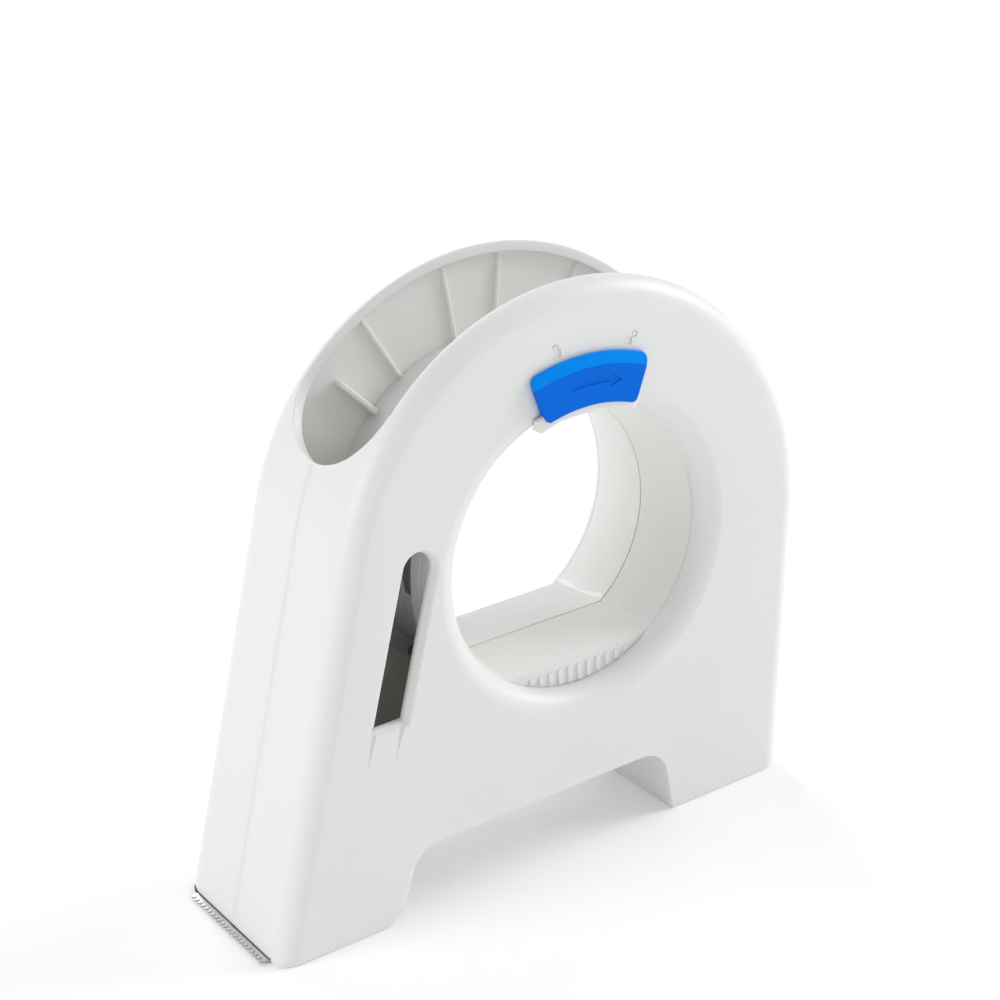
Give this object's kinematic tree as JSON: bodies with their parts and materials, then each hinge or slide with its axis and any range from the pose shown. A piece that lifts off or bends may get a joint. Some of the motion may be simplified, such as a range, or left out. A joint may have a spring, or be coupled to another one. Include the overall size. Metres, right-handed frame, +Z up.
{
  "type": "masking tape applicator",
  "caption": "Hand-held masking tape applicator: a hollow arched housing in two halves, a core hub with a finger opening, a turning lock, guide and press rollers and a saw-toothed blade.",
  "frame": {"origin": "on the floor under the middle of the overall length, in the parting plane of the two housing halves", "axes": "+X along the sole from the cutting blade to the heel, +Y along the hub's axis from the lock's side to the plain side, +Z up"},
  "size_m": [0.1525, 0.047, 0.1385],
  "materials": {
    "housing_white": "satin moulded",
    "hub_white": "satin moulded",
    "carrier_white": "satin moulded",
    "keeper_plastic": "moulded",
    "slider_blue": "semi-gloss moulded",
    "holder_navy": "satin moulded",
    "blade_steel": "stamped stainless",
    "spring_steel": "rolled strip",
    "screw_steel": "zinc plated",
    "axle_steel": "ground",
    "roller_rubber": "moulded rubber",
    "roller_plastic": "moulded"
  },
  "bodies": {
    "near_half": {"near_shell": "housing_white", "near_hub_sleeve": "hub_white", "near_hub_screws": "screw_steel", "core_drag_springs": "spring_steel", "cutting_blade": "blade_steel", "blade_holder": "holder_navy", "blade_screws": "screw_steel", "press_roller_axle": "axle_steel", "guide_roller_axle": "axle_steel"},
    "far_half": {"far_shell": "housing_white", "far_hub_sleeve": "hub_white", "far_hub_screws": "screw_steel", "register_pins": "axle_steel"},
    "lock": {"lock_slider": "slider_blue", "lock_carrier": "carrier_white", "lock_keeper": "keeper_plastic", "lock_spring": "spring_steel", "lock_screw": "screw_steel"},
    "press_roller": {"press_roller": "roller_rubber"},
    "guide_roller": {"guide_roller": "roller_plastic"}
  },
  "joints": [
    {"name": "housing_slide", "type": "slide", "parent": "near_half", "child": "far_half", "axis": [0, 1, 0], "range_m": [0, 0.034]},
    {"name": "lock_turn", "type": "hinge", "parent": "near_half", "child": "lock", "pos_m": [0.01275, 0, 0.075], "axis": [0, 1, 0], "range_deg": [-14, 0]},
    {"name": "press_roller_spin", "type": "hinge", "parent": "near_half", "child": "press_roller", "pos_m": [-0.05375, 0, 0.0065], "axis": [0, 1, 0], "continuous": true},
    {"name": "guide_roller_spin", "type": "hinge", "parent": "near_half", "child": "guide_roller", "pos_m": [-0.04975, 0, 0.038], "axis": [0, 1, 0], "continuous": true}
  ]
}
